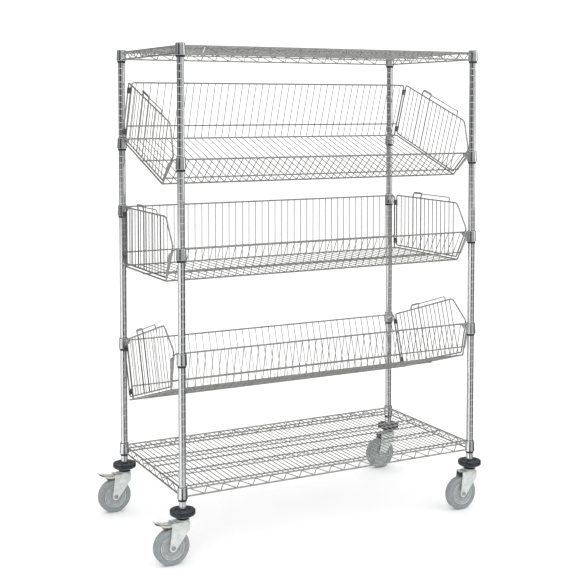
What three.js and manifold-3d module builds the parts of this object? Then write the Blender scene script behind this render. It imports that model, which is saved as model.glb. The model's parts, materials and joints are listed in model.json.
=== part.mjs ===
// Wire shelf cart: four grooved posts on swivel casters, a flat wire shelf at the top and at the
// bottom, and three hanging wire baskets, each at its own tilt, with end panels that fold in.
// Millimetres, +Z up, the floor at Z = 0, +X to the right, +Y to the back.

import * as THREE from 'three';
import { mergeVertices } from 'three/addons/utils/BufferGeometryUtils.js';
import Module from 'manifold-3d';

const wasm = await Module();
wasm.setup();

// ---------------------------------------------------------------- driving dimensions

const CLEARANCE = 0.3; // between pieces that rest on each other
const RUNNING_GAP = 0.4; // between pieces that turn past each other
const OVERSHOOT = 1; // how far a cutter runs past what it cuts

const POST_X = 597; // post axes, left and right of the middle
const POST_Y = 292; // post axes, front and back of the middle
const POST_RADIUS = 12.7;
const POST_BOTTOM = 160;
const POST_LENGTH = 1600;
const POST_SIDES = 12;
const POST_WALL = 1.6;
const POST_CAP = 3;
const POST_CHAMFER = 2.5;
const STEM_DEPTH = 60;

const GROOVE_PITCH = 25.4;
const LOWEST_LEVEL = 217.5; // groove that carries the bottom shelf
const TOP_SHELF_GROOVE = 59;

const COLLAR = { foot: 3, height: 39.5, bore: 13.1, topRadius: 16.6, footRadius: 18.5 };
const HOOK = {
  sideways: 11,
  thickness: 4,
  from: 10.5,
  slotHalf: 4,
  lip: 1.2,
  lipHeight: 1.6,
  rootDrop: 16,
  tipDrop: 4,
};
const FRONT_HOOK_ROD = 34; // rod centre above the collar's groove
const BACK_HOOK_ROD = 40;

// Rods and wires are square bars here, with about the section of the round ones.
const ROD = 5.4;
const ROD_CORNER = ROD * Math.SQRT1_2;
const HINGE_ROD_RADIUS = 3;
const WIRE = 3;
const SHY = 0.4; // joined bars differ by this, so that none of their faces coincide
const TRUSS_WIRE = 4;
const HEAVY_WIRE = 5;
const CROSS_ROD = 4.4;
const OFFSET_ROD = ROD / 2 + WIRE / 2 + 0.1; // from the wires' plane to a rod on one side of them

const SHELF = {
  upperRod: 36,
  lowerRod: 9,
  middleLowerRod: 18,
  deckPitch: 83.2,
  middleTrussY: 92,
  deckRodY: [-256, 0, 256],
  longTrussBays: 6,
  shortTrussBays: 3,
};

// Basket section, from the corner between back and floor: forward is -Y, up is +Z.
const BASKET = {
  backHeight: 222,
  floorDepth: 434,
  lipForward: 65,
  lipUp: 115,
  backHalfWidth: 597,
  floorHalfWidth: 610,
  sideX: 608,
  wirePitch: 86.8,
  seam: 8, // distance of a panel's closing rod from the corner it is welded to
  backRodHeight: 50,
  lipRodShare: 0.28,
  floorRodShare: 0.48,
};

// Wires of an end panel are counted from the hinge; every other one is left out here.
const SIDE = {
  wirePitch: 28.7,
  wireOffset: 2,
  lastWire: 14,
  left: { heavyWires: [5, 7], loopRise: 13, loopEnd: 343 },
  right: { heavyWires: [4, 6], loopRise: 20, loopEnd: 372 },
  bottom: 11,
  inset: 10,
  kneeAboveLip: 11,
  shoulder: [[439, -16], [417, 0]], // forward, and up from the top rod
  handleRise: 22,
  clipHeights: [30, 186],
  clipLength: 16,
  clipRadius: 5,
  clipBore: 3.9,
  clipHalfThickness: 3.5,
};

const BASKETS = [
  { name: 'upper', frontGroove: 44, backGroove: 46, hangsBy: 'bottom' },
  { name: 'middle', frontGroove: 32, backGroove: 36, hangsBy: 'top' },
  { name: 'lower', frontGroove: 18, backGroove: 16, hangsBy: 'top' },
];

const CASTER = {
  wheelRadius: 62.5,
  trail: 42,
  tyreHalfWidth: 16,
  hubHalfWidth: 18,
  rimRadius: 46,
  rimHalfWidth: 13,
  hubSides: 12,
  hubWebHalf: 9,
  hubBarrel: [17, 15], // radius at its root and at its end
  legInner: 19.5,
  legThickness: 2.5,
  legFront: 20,
  legBack: 46,
  legFrontDrop: 22,
  eyeRadius: 13,
  crownTop: 147,
  crownThickness: 4,
  crownBack: 36,
  axleRadius: 6,
  axleHead: { radius: 9, height: 4 },
  kingpinRadius: 6,
  kingpinHead: { radius: 10, height: 4 },
  pinHoleGap: 0.8,
  race: { radius: 24, neck: 15, belowPost: 7 },
};
const TYRE = { flats: 20, underlap: 1.2, shoulder: 5, sidewall: 6, beadInset: 2 };
const BUMPER = { radius: 44, bottom: 161, height: 25, chamfer: 5, sides: 12 };

// Brake pedal: [x, z] pairs from its pivot, which is behind the fork's crown.
const PEDAL = {
  pivot: [-43, 136],
  halfWidth: 12,
  pinHalf: 3,
  pinHalfLength: 19,
  lever: [
    [3, -3],
    [-4, -7],
    [-19, -8],
    [-23, -3],
    [-41, 3],
    [-59, 13],
    [-60, 16],
    [-41, 8],
    [-21, 4],
    [3, 4],
  ],
};

const CORNERS = [
  { name: 'front_left', x: -1, y: -1 },
  { name: 'front_right', x: 1, y: -1 },
  { name: 'back_left', x: -1, y: 1 },
  { name: 'back_right', x: 1, y: 1 },
];

// ---------------------------------------------------------------- materials

function finish(color, roughness, metalness) {
  return new THREE.MeshStandardMaterial({ color, roughness, metalness });
}
const CHROME = finish(0xc3c6c8, 0.22, 1.0);
const CHROME_WIRE = finish(0xa9acac, 0.3, 1.0);
const ZINC = finish(0xd7dbdc, 0.35, 0.9);
const BLACK_RUBBER = finish(0x17191c, 0.6, 0.0);
const GREY_TYRE = finish(0x85898d, 0.7, 0.0);
const GREY_HUB = finish(0xa2a8aa, 0.5, 0.0);

// ---------------------------------------------------------------- solids

function solidOf(geometry) {
  const bare = geometry.clone();
  bare.deleteAttribute('normal');
  bare.deleteAttribute('uv');
  const merged = mergeVertices(bare, 1e-4);
  return new wasm.Manifold(
    new wasm.Mesh({
      numProp: 3,
      vertProperties: new Float32Array(merged.attributes.position.array),
      triVerts: new Uint32Array(merged.index.array),
    }),
  );
}

function geometryOf(solid) {
  const mesh = solid.getMesh();
  const geometry = new THREE.BufferGeometry();
  geometry.setAttribute('position', new THREE.BufferAttribute(mesh.vertProperties, 3));
  geometry.setIndex(new THREE.BufferAttribute(mesh.triVerts, 1));
  geometry.computeVertexNormals();
  return geometry;
}

function join(geometries) {
  return geometries.map(solidOf).reduce((whole, next) => whole.add(next));
}

// A square bar between two points; `across` is the direction that one pair of its faces looks in.
function bar(from, to, width, across = new THREE.Vector3(0, 0, 1)) {
  const along = new THREE.Vector3().subVectors(to, from);
  const geometry = new THREE.BoxGeometry(width, width, along.length());
  const zAxis = along.clone().normalize();
  const xAxis = new THREE.Vector3().crossVectors(across, zAxis).normalize();
  const yAxis = new THREE.Vector3().crossVectors(zAxis, xAxis);
  const place = new THREE.Matrix4().makeBasis(xAxis, yAxis, zAxis);
  place.setPosition(new THREE.Vector3().addVectors(from, to).multiplyScalar(0.5));
  return geometry.applyMatrix4(place);
}

// Eight-sided round bar along Z.
function roundBar(radius, x, y, zLow, zHigh) {
  const geometry = new THREE.CylinderGeometry(radius, radius, zHigh - zLow, 8);
  geometry.rotateX(Math.PI / 2);
  return geometry.translate(x, y, (zLow + zHigh) / 2);
}

function box(low, high) {
  const geometry = new THREE.BoxGeometry(high[0] - low[0], high[1] - low[1], high[2] - low[2]);
  return geometry.translate((low[0] + high[0]) / 2, (low[1] + high[1]) / 2, (low[2] + high[2]) / 2);
}

// A turned solid about Z; `profile` holds [radius, z] pairs.
function turned(profile, sides) {
  const points = profile.map(([radius, z]) => new THREE.Vector2(radius, z));
  return new THREE.LatheGeometry(points, sides).rotateX(Math.PI / 2);
}

// A turned ring about Z, whose profile closes on itself.
function ring(profile, sides) {
  return turned([...profile, profile[0]], sides);
}

// A plate whose outline lies in the XZ plane, as thick as yHigh - yLow.
function plateXZ(shape, yLow, yHigh) {
  const options = { depth: yHigh - yLow, bevelEnabled: false, curveSegments: 4 };
  return new THREE.ExtrudeGeometry(shape, options).rotateX(Math.PI / 2).translate(0, yHigh, 0);
}

const outline = (points) => new THREE.Shape(points.map(([u, v]) => new THREE.Vector2(u, v)));
const vector = (x, y, z) => new THREE.Vector3(x, y, z);
const grooveHeight = (groove) => LOWEST_LEVEL + groove * GROOVE_PITCH;

// ---------------------------------------------------------------- assembly helpers

const cart = new THREE.Group();

// Middle of the cart's footprint, so that the origin is under the middle of the whole object.
cart.position.x = (CASTER.trail + CASTER.wheelRadius - BUMPER.radius) / 2;

function addPiece(parent, name, solid, material) {
  const mesh = new THREE.Mesh(geometryOf(solid), material);
  mesh.name = name;
  parent.add(mesh);
  return mesh;
}

function cornerGroup(corner, z = 0) {
  const group = new THREE.Group();
  group.position.set(corner.x * POST_X, corner.y * POST_Y, z);
  cart.add(group);
  return group;
}

// Where a basket's back floor corner goes and how far it tilts, from the two pairs of hooks.
function basketPlacement(basket) {
  const lipTop = new THREE.Vector2(-(BASKET.floorDepth + BASKET.lipForward), BASKET.lipUp);
  const backRod = new THREE.Vector2(0, basket.hangsBy === 'top' ? BASKET.backHeight : 0);
  const chord = backRod.clone().sub(lipTop);
  const frontZ = grooveHeight(basket.frontGroove) + FRONT_HOOK_ROD;
  const rise = grooveHeight(basket.backGroove) + BACK_HOOK_ROD - frontZ;
  const run = Math.sqrt(chord.lengthSq() - rise * rise);
  const tilt = Math.atan2(rise, run) - chord.angle();
  const corner = lipTop.clone().rotateAround(new THREE.Vector2(), tilt).negate();
  return { tilt, y: -run / 2 + corner.x, z: frontZ + corner.y, reach: POST_Y - run / 2 };
}

// ---------------------------------------------------------------- posts and collars

// A tube, closed at the top and open at the bottom, where the caster's stem goes in.
function postSolid() {
  const top = POST_BOTTOM + POST_LENGTH;
  const inside = POST_RADIUS - POST_WALL;
  return solidOf(
    turned(
      [
        [0, top - POST_CAP],
        [inside, top - POST_CAP],
        [inside, POST_BOTTOM],
        [POST_RADIUS, POST_BOTTOM],
        [POST_RADIUS, top - POST_CHAMFER],
        [POST_RADIUS - POST_CHAMFER, top],
        [0, top],
      ],
      POST_SIDES,
    ),
  );
}

function collarRing() {
  const top = COLLAR.foot + COLLAR.height;
  return ring(
    [
      [COLLAR.bore, COLLAR.foot],
      [COLLAR.footRadius, COLLAR.foot],
      [COLLAR.topRadius, top],
      [COLLAR.bore, top],
    ],
    POST_SIDES,
  );
}

// Collar with an open cradle that carries a basket rod `reach` in from the post's axis.
function hookCollarSolid(rodHeight, reach, inward, sideways) {
  const seat = rodHeight - ROD_CORNER - CLEARANCE;
  const slotNear = reach - HOOK.slotHalf;
  const slotFar = reach + HOOK.slotHalf;
  const tip = slotFar + HOOK.lip;
  const profile = outline([
    [HOOK.from, seat - HOOK.rootDrop],
    [tip, seat - HOOK.tipDrop],
    [tip, seat + HOOK.lipHeight],
    [slotFar, seat + HOOK.lipHeight],
    [slotFar, seat],
    [slotNear, seat],
    [slotNear, seat + ROD],
    [HOOK.from, seat + ROD],
  ]);
  const half = HOOK.thickness / 2;
  const plate = plateXZ(profile, -half, half);
  plate.rotateZ(inward * (Math.PI / 2));
  plate.translate(sideways * HOOK.sideways, 0, 0);
  return join([collarRing(), plate]);
}

for (const corner of CORNERS) {
  addPiece(cornerGroup(corner), `post_${corner.name}`, postSolid(), CHROME);
}

for (const basket of BASKETS) {
  const { reach } = basketPlacement(basket);
  for (const corner of CORNERS) {
    const isFront = corner.y < 0;
    const groove = isFront ? basket.frontGroove : basket.backGroove;
    const rodHeight = isFront ? FRONT_HOOK_ROD : BACK_HOOK_ROD;
    const solid = hookCollarSolid(rodHeight, reach, -corner.y, -corner.x);
    const place = cornerGroup(corner, grooveHeight(groove));
    addPiece(place, `${basket.name}_collar_${corner.name}`, solid, CHROME);
  }
}

// ---------------------------------------------------------------- flat shelves

// Zigzag wire from `start` to `end`, both at an upper rod, with its lower nodes `drop` below them.
function zigzag(start, end, drop, bays, across) {
  const bars = [];
  for (let bay = 0; bay < bays; bay += 1) {
    const left = start.clone().lerp(end, bay / bays);
    const right = start.clone().lerp(end, (bay + 1) / bays);
    const low = start.clone().lerp(end, (bay + 0.5) / bays);
    low.z -= drop;
    bars.push(bar(left, low, TRUSS_WIRE, across));
    bars.push(bar(low, right, TRUSS_WIRE, across));
  }
  return bars;
}

function shelfSolid() {
  const pieces = [];
  const reachX = POST_X - COLLAR.bore - OVERSHOOT;
  const reachY = POST_Y - COLLAR.bore - OVERSHOOT;
  for (const corner of CORNERS) {
    pieces.push(collarRing().translate(corner.x * POST_X, corner.y * POST_Y, 0));
  }
  for (const z of [SHELF.upperRod, SHELF.lowerRod]) {
    for (const side of [-1, 1]) {
      pieces.push(bar(vector(-reachX, side * POST_Y, z), vector(reachX, side * POST_Y, z), ROD));
      pieces.push(bar(vector(side * POST_X, -reachY, z), vector(side * POST_X, reachY, z), ROD));
    }
  }
  const underDeck = SHELF.upperRod - OFFSET_ROD;
  const longRods = SHELF.deckRodY.map((y) => [y, underDeck]);
  const alongY = vector(0, 1, 0);
  for (const y of [-SHELF.middleTrussY, SHELF.middleTrussY]) {
    longRods.push([y, underDeck], [y, SHELF.middleLowerRod]);
    const ends = [vector(-POST_X, y, underDeck), vector(POST_X, y, underDeck)];
    pieces.push(...zigzag(...ends, underDeck - SHELF.middleLowerRod, SHELF.longTrussBays, alongY));
  }
  for (const [y, z] of longRods) {
    pieces.push(bar(vector(-POST_X, y, z), vector(POST_X, y, z), CROSS_ROD));
  }

  const deckCount = Math.floor((POST_X - COLLAR.footRadius) / SHELF.deckPitch);
  for (let i = -deckCount; i <= deckCount; i += 1) {
    const x = i * SHELF.deckPitch;
    pieces.push(bar(vector(x, -POST_Y, SHELF.upperRod), vector(x, POST_Y, SHELF.upperRod), WIRE));
  }
  const trussX = POST_X - 2 * COLLAR.footRadius;
  const trussY = POST_Y - 2 * COLLAR.footRadius;
  const upper = SHELF.upperRod;
  const drop = upper - SHELF.lowerRod;
  for (const side of [-1, 1]) {
    const y = side * POST_Y;
    const x = side * POST_X;
    const longways = [vector(-trussX, y, upper), vector(trussX, y, upper)];
    const crossways = [vector(x, -trussY, upper), vector(x, trussY, upper)];
    pieces.push(...zigzag(...longways, drop, SHELF.longTrussBays, alongY));
    pieces.push(...zigzag(...crossways, drop, SHELF.shortTrussBays, vector(1, 0, 0)));
  }
  return join(pieces);
}

for (const [name, groove] of [['bottom_shelf', 0], ['top_shelf', TOP_SHELF_GROOVE]]) {
  const mesh = addPiece(cart, name, shelfSolid(), CHROME_WIRE);
  mesh.position.z = grooveHeight(groove);
}

// ---------------------------------------------------------------- baskets

// A flat wire panel in its own XY plane: width along X, from y = low to y = high.
function panelPieces(halfWidth, low, high, crossRods) {
  const pieces = [
    bar(vector(-halfWidth, low, 0), vector(halfWidth, low, 0), ROD),
    bar(vector(-halfWidth, high, 0), vector(halfWidth, high, 0), ROD),
  ];
  for (const { y, offset } of crossRods) {
    pieces.push(bar(vector(-halfWidth, y, offset), vector(halfWidth, y, offset), CROSS_ROD));
  }
  const count = Math.floor((BASKET.backHalfWidth - ROD) / BASKET.wirePitch);
  for (let i = -count; i <= count; i += 1) {
    const x = i * BASKET.wirePitch;
    pieces.push(bar(vector(x, low, 0), vector(x, high, 0), WIRE));
  }
  return pieces;
}

function endRods(halfWidth, low, high) {
  return [-1, 1].map((side) => {
    const x = side * halfWidth;
    return bar(vector(x, low - OVERSHOOT, 0), vector(x, high + OVERSHOOT, 0), ROD - SHY);
  });
}

function backPanelSolid() {
  const width = BASKET.backHalfWidth;
  const low = BASKET.seam;
  const high = BASKET.backHeight;
  const crossRods = [{ y: BASKET.backRodHeight, offset: -OFFSET_ROD }];
  const ends = [-1, 1].map((side) =>
    roundBar(HINGE_ROD_RADIUS, side * width, 0, low - ROD / 2, high + ROD / 2).rotateX(-Math.PI / 2),
  );
  const flat = join([...panelPieces(width, low, high, crossRods), ...ends]);
  return flat.rotate([90, 0, 0]);
}

function floorPanelSolid() {
  const width = BASKET.floorHalfWidth;
  const crossRods = [{ y: -BASKET.floorRodShare * BASKET.floorDepth, offset: -OFFSET_ROD }];
  const pieces = panelPieces(width, -BASKET.floorDepth, 0, crossRods);
  return join([...pieces, ...endRods(width, -BASKET.floorDepth, 0)]);
}

const LIP_LENGTH = Math.hypot(BASKET.lipForward, BASKET.lipUp);
const LIP_ANGLE = Math.atan2(BASKET.lipUp, -BASKET.lipForward);

function lipPanelSolid() {
  const width = BASKET.floorHalfWidth;
  const crossRods = [{ y: BASKET.lipRodShare * LIP_LENGTH, offset: OFFSET_ROD }];
  const pieces = panelPieces(width, BASKET.seam, LIP_LENGTH, crossRods);
  const flat = join([...pieces, ...endRods(width, BASKET.seam, LIP_LENGTH)]);
  return flat.rotate([THREE.MathUtils.radToDeg(LIP_ANGLE), 0, 0]).translate([0, -BASKET.floorDepth, 0]);
}

// Corners of an end panel as [forward, up], set in from the floor and from the lip.
function sideCorners() {
  const forwardPerUp = BASKET.lipForward / BASKET.lipUp;
  const insetAtFloor = SIDE.inset * (LIP_LENGTH / BASKET.lipUp);
  const lipForwardAt = (up) => BASKET.floorDepth + up * forwardPerUp - insetAtFloor;
  const kneeUp = BASKET.lipUp + SIDE.kneeAboveLip;
  return [
    [0, SIDE.bottom],
    [lipForwardAt(SIDE.bottom), SIDE.bottom],
    [lipForwardAt(kneeUp), kneeUp],
    ...SIDE.shoulder.map(([forward, up]) => [forward, BASKET.backHeight + up]),
    [0, BASKET.backHeight],
  ];
}

// A folding end panel: bent frame rod, upright wires, heavy handle wires and the two hinge clips.
function sidePanelSolid(side) {
  const planeX = side * BASKET.sideX;
  const across = vector(1, 0, 0);
  const at = (forward, up) => vector(planeX, -forward, up);
  const corners = sideCorners().map(([forward, up]) => at(forward, up));
  const pieces = corners.map((corner, i) => {
    const next = corners[(i + 1) % corners.length];
    const overrun = next.clone().sub(corner).setLength(ROD / 2 - SHY);
    const width = i % 2 ? ROD : ROD - SHY;
    return bar(corner.clone().sub(overrun), next.clone().add(overrun), width, across);
  });
  const { heavyWires, loopRise, loopEnd } = side > 0 ? SIDE.right : SIDE.left;
  const top = BASKET.backHeight;
  const handleTop = top + SIDE.handleRise;
  const loopTop = top + loopRise;
  const wireForward = (i) => i * SIDE.wirePitch + SIDE.wireOffset;
  const firstWire = heavyWires[0] % 2 || 2;
  for (let i = firstWire; i <= SIDE.lastWire; i += 2) {
    const forward = wireForward(i);
    const heavy = heavyWires.includes(i);
    const reach = heavy ? handleTop : top;
    pieces.push(bar(at(forward, SIDE.bottom), at(forward, reach), heavy ? HEAVY_WIRE : WIRE, across));
  }
  const [handleBack, handleFront] = heavyWires.map(wireForward);
  const halfHeavy = HEAVY_WIRE / 2;
  const handle = [at(handleBack - halfHeavy, handleTop), at(handleFront + halfHeavy, handleTop)];
  pieces.push(
    bar(...handle, HEAVY_WIRE - SHY, across),
    bar(at(handleFront, loopTop), at(loopEnd + WIRE / 2, loopTop), WIRE, across),
    bar(at(loopEnd, top), at(loopEnd, loopTop), WIRE - SHY, across),
  );
  const hingeX = side * BASKET.backHalfWidth;
  const halfClip = SIDE.clipLength / 2;
  const halfCut = halfClip + OVERSHOOT;
  const hinge = [];
  for (const height of SIDE.clipHeights) {
    pieces.push(roundBar(SIDE.clipRadius, hingeX, 0, height - halfClip, height + halfClip));
    const [near, far] = side > 0 ? [hingeX, planeX] : [planeX, hingeX];
    const thick = SIDE.clipHalfThickness;
    pieces.push(box([near, -thick, height - halfClip], [far, thick, height + halfClip]));
    hinge.push(roundBar(SIDE.clipBore, hingeX, 0, height - halfCut, height + halfCut));
  }
  return hinge.map(solidOf).reduce((whole, bore) => whole.subtract(bore), join(pieces));
}

for (const basket of BASKETS) {
  const { tilt, y, z } = basketPlacement(basket);
  const group = new THREE.Group();
  group.position.set(0, y, z);
  group.rotation.x = tilt;
  cart.add(group);
  addPiece(group, `${basket.name}_basket_back`, backPanelSolid(), CHROME_WIRE);
  addPiece(group, `${basket.name}_basket_floor`, floorPanelSolid(), CHROME_WIRE);
  addPiece(group, `${basket.name}_basket_lip`, lipPanelSolid(), CHROME_WIRE);
  addPiece(group, `${basket.name}_basket_left_side`, sidePanelSolid(-1), CHROME_WIRE);
  addPiece(group, `${basket.name}_basket_right_side`, sidePanelSolid(1), CHROME_WIRE);
}

// ---------------------------------------------------------------- casters

function bumperSolid() {
  const { radius, bottom, chamfer, sides } = BUMPER;
  const top = bottom + BUMPER.height;
  const profile = [
    [COLLAR.bore, bottom],
    [radius - chamfer, bottom],
    [radius, bottom + chamfer],
    [radius, top - chamfer],
    [radius - chamfer, top],
    [COLLAR.bore, top],
  ];
  return solidOf(ring(profile, sides));
}

// Stem that plugs into the post, with the upper race and the kingpin that holds the fork.
function stemSolid() {
  const { crownTop, crownThickness, kingpinRadius, kingpinHead, race } = CASTER;
  const raceBottom = crownTop + RUNNING_GAP;
  const shoulder = POST_BOTTOM - CLEARANCE;
  const headTop = crownTop - crownThickness - RUNNING_GAP;
  const plugRadius = POST_RADIUS - POST_WALL - 2 * CLEARANCE;
  return solidOf(
    turned(
      [
        [0, headTop - kingpinHead.height],
        [kingpinHead.radius, headTop - kingpinHead.height],
        [kingpinHead.radius, headTop],
        [kingpinRadius, headTop],
        [kingpinRadius, raceBottom],
        [race.radius, raceBottom],
        [race.radius, POST_BOTTOM - race.belowPost],
        [race.neck, shoulder],
        [plugRadius, shoulder],
        [plugRadius, POST_BOTTOM + STEM_DEPTH],
        [0, POST_BOTTOM + STEM_DEPTH],
      ],
      8,
    ),
  );
}

// Pressed fork: a flat crown and two legs that narrow to the axle.
function forkSolid() {
  const { trail, wheelRadius, legInner, legFront, legBack, eyeRadius, crownTop, pinHoleGap } = CASTER;
  const leg = new THREE.Shape();
  leg.moveTo(legFront, crownTop);
  leg.lineTo(-legBack, crownTop);
  leg.lineTo(-trail - eyeRadius, wheelRadius);
  leg.absarc(-trail, wheelRadius, eyeRadius, Math.PI, 2 * Math.PI, false);
  leg.lineTo(legFront, crownTop - CASTER.legFrontDrop);
  const legOuter = legInner + CASTER.legThickness;
  const crownBottom = crownTop - CASTER.crownThickness;
  const body = join([
    plateXZ(leg, -legOuter, -legInner),
    plateXZ(leg, legInner, legOuter),
    box([-CASTER.crownBack, -legOuter, crownBottom], [legFront, legOuter, crownTop]),
  ]);
  const holeTop = crownTop + OVERSHOOT;
  const kingpinHole = roundBar(CASTER.kingpinRadius + pinHoleGap, 0, 0, crownBottom - OVERSHOOT, holeTop);
  const halfHole = legOuter + OVERSHOOT;
  const axleHole = roundBar(CASTER.axleRadius + pinHoleGap, 0, 0, -halfHole, halfHole);
  axleHole.rotateX(Math.PI / 2).translate(-trail, 0, wheelRadius);
  return body.subtract(solidOf(kingpinHole)).subtract(solidOf(axleHole));
}

// Turned about the wheel's axle, which runs along Y.
function aboutAxle(profile, sides, startAngle = 0) {
  const points = profile.map(([radius, y]) => new THREE.Vector2(radius, y));
  const geometry = new THREE.LatheGeometry(points, sides, startAngle);
  return solidOf(geometry.translate(-CASTER.trail, 0, CASTER.wheelRadius));
}

function hubSolid() {
  const { hubHalfWidth, hubWebHalf, hubBarrel, hubSides, rimRadius, rimHalfWidth } = CASTER;
  const bore = CASTER.axleRadius + 2 * CLEARANCE;
  const [barrelRoot, barrelEnd] = hubBarrel;
  const profile = [
    [bore, -hubHalfWidth],
    [barrelEnd, -hubHalfWidth],
    [barrelRoot, -hubWebHalf],
    [rimRadius, -rimHalfWidth],
    [rimRadius, rimHalfWidth],
    [barrelRoot, hubWebHalf],
    [barrelEnd, hubHalfWidth],
    [bore, hubHalfWidth],
    [bore, -hubHalfWidth],
  ];
  return aboutAxle(profile, hubSides);
}

// The tread is made of flats, with one of them on the floor.
function tyreSolid() {
  const { flats, underlap, shoulder, sidewall, beadInset } = TYRE;
  const half = CASTER.tyreHalfWidth;
  const halfStep = Math.PI / flats;
  const corner = CASTER.wheelRadius / Math.cos(halfStep);
  const inner = CASTER.rimRadius + underlap;
  const profile = [
    [inner, beadInset - half],
    [corner - shoulder, -half],
    [corner, sidewall - half],
    [corner, half - sidewall],
    [corner - shoulder, half],
    [inner, half - beadInset],
    [inner, beadInset - half],
  ];
  return aboutAxle(profile, flats, halfStep);
}

function axleSolid() {
  const { axleRadius, axleHead } = CASTER;
  const headInner = CASTER.legInner + CASTER.legThickness + CLEARANCE;
  const end = headInner + axleHead.height;
  const profile = [
    [0, -end],
    [axleHead.radius, -end],
    [axleHead.radius, -headInner],
    [axleRadius, -headInner],
    [axleRadius, headInner],
    [axleHead.radius, headInner],
    [axleHead.radius, end],
    [0, end],
  ];
  return aboutAxle(profile, 8);
}

// Foot lever behind the fork: pin, brake shoe over the tyre and an upturned toe plate.
function brakePedalSolid() {
  const { pivot, halfWidth, pinHalf, pinHalfLength, lever } = PEDAL;
  const pin = box([-pinHalf, -pinHalfLength, -pinHalf], [pinHalf, pinHalfLength, pinHalf]);
  const solid = join([plateXZ(outline(lever), -halfWidth, halfWidth), pin]);
  return solid.translate([pivot[0], 0, pivot[1]]);
}

for (const corner of CORNERS) {
  const group = cornerGroup(corner);
  addPiece(group, `bumper_${corner.name}`, bumperSolid(), BLACK_RUBBER);
  addPiece(group, `caster_stem_${corner.name}`, stemSolid(), ZINC);
  addPiece(group, `caster_fork_${corner.name}`, forkSolid(), ZINC);
  addPiece(group, `caster_axle_${corner.name}`, axleSolid(), ZINC);
  addPiece(group, `wheel_hub_${corner.name}`, hubSolid(), GREY_HUB);
  addPiece(group, `wheel_tyre_${corner.name}`, tyreSolid(), GREY_TYRE);
  if (corner.x < 0) {
    addPiece(group, `brake_pedal_${corner.name}`, brakePedalSolid(), ZINC);
  }
}

export default cart;
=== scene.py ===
"""Wire shelf cart: chromed posts, two flat wire shelves, three tilted wire baskets with folding end
panels, bumpers and swivel casters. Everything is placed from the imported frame, in metres."""

import json
import math

import bmesh
import bpy
from mathutils import Matrix, Vector


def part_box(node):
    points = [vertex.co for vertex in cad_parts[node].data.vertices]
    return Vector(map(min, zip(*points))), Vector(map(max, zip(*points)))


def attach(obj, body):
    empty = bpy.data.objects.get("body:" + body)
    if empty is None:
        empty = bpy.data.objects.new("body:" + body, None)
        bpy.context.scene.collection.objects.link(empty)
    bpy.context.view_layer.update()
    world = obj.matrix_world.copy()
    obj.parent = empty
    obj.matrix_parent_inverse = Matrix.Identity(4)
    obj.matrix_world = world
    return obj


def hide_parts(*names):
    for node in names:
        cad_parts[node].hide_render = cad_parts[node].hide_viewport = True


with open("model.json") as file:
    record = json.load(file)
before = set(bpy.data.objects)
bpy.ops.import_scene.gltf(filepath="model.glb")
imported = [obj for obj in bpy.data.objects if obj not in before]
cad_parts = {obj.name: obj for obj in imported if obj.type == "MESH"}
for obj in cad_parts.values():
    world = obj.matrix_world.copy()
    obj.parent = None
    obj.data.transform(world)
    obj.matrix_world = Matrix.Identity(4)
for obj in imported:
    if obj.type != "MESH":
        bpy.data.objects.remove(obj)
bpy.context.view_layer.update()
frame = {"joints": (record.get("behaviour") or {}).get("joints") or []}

MM = 0.001
X_AXIS = Vector((1, 0, 0))
Y_AXIS = Vector((0, 1, 0))
Z_AXIS = Vector((0, 0, 1))
ORIGIN = Vector((0, 0, 0))

# ------------------------------------------------------------------ driving dimensions

GROOVE_PITCH = 25.4 * MM
GROOVE_HALF_WIDTH = 1.1 * MM
GROOVE_DEPTH = 0.5 * MM

ROD = 3.0 * MM  # radii
SHELF_ROD = 3.0 * MM
WIRE = 1.45 * MM
DECK_WIRE = 1.5 * MM
SNAKE_WIRE = 1.6 * MM
HEAVY_WIRE = 2.4 * MM

POST_WALL = 1.6 * MM
COLLAR_FOOT = 3 * MM  # heights above the groove that carries the collar
COLLAR_TOP = 42.5 * MM
COLLAR_FOOT_RADIUS = 18.5 * MM
COLLAR_TOP_RADIUS = 16.6 * MM
COLLAR_BORE = 13.6 * MM
SLEEVE_BORE = 12.9 * MM
SLEEVE_BAND_RADIUS = 15.4 * MM
FRONT_HOOK_ROD = 34 * MM
BACK_HOOK_ROD = 40 * MM
HOOK_PLATE = 4 * MM
HOOK_PLATE_INSET = 11 * MM  # of a hook plate from its post's centre

BACK_HEIGHT = 222 * MM
FLOOR_DEPTH = 434 * MM
LIP_FORWARD = 65 * MM
LIP_UP = 115 * MM
FLOOR_HALF_WIDTH = 610 * MM
SIDE_OUTSET = 11 * MM  # of an end panel from its hinge rod
FLOOR_ROD_SHARE = 0.48
BASKET_PITCH = 28.93 * MM
LAST_BASKET_WIRE = 20
BACK_ROD = (4.4 * MM, 50 * MM)  # of the rod across the back, behind the wires, above the floor
LIP_ROD_UP = 37 * MM  # from the front edge, along the lip
WELD_OVERLAP = 0.8 * MM
SIDE_PITCH = 28.7 * MM
SIDE_WIRE_OFFSET = 2 * MM
SIDE_WIRES = 14

WHEEL_HALF_WIDTH = 16 * MM
HUB_RADIUS = 42 * MM
AXLE_HOLE = 6.8 * MM
FORK_GAP = 19.5 * MM  # of a fork's leg from the wheel's middle
FORK_GAUGE = 2.5 * MM
FORK_EYE = 13 * MM  # radius of a leg's end round the axle
CROWN_FRONT = 19 * MM  # from the swivel axis
CROWN_BACK = -36 * MM
PEDAL_WIDTH = 24 * MM

CORNERS = ("front_left", "front_right", "back_left", "back_right")
BASKETS = ("upper", "middle", "lower")

joints = {joint["name"]: joint for joint in frame["joints"]}


def centre_of(node):
    low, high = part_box(node)
    return (Vector(low) + Vector(high)) / 2


POSTS = {corner: centre_of("post_" + corner).to_2d() for corner in CORNERS}
MIDDLE_X = (POSTS["front_left"].x + POSTS["front_right"].x) / 2
POST_X = POSTS["front_right"].x - MIDDLE_X
POST_Y = POSTS["back_left"].y

# ------------------------------------------------------------------ mesh helpers


TIP_DOME = 0.35  # of a rod's radius


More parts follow.
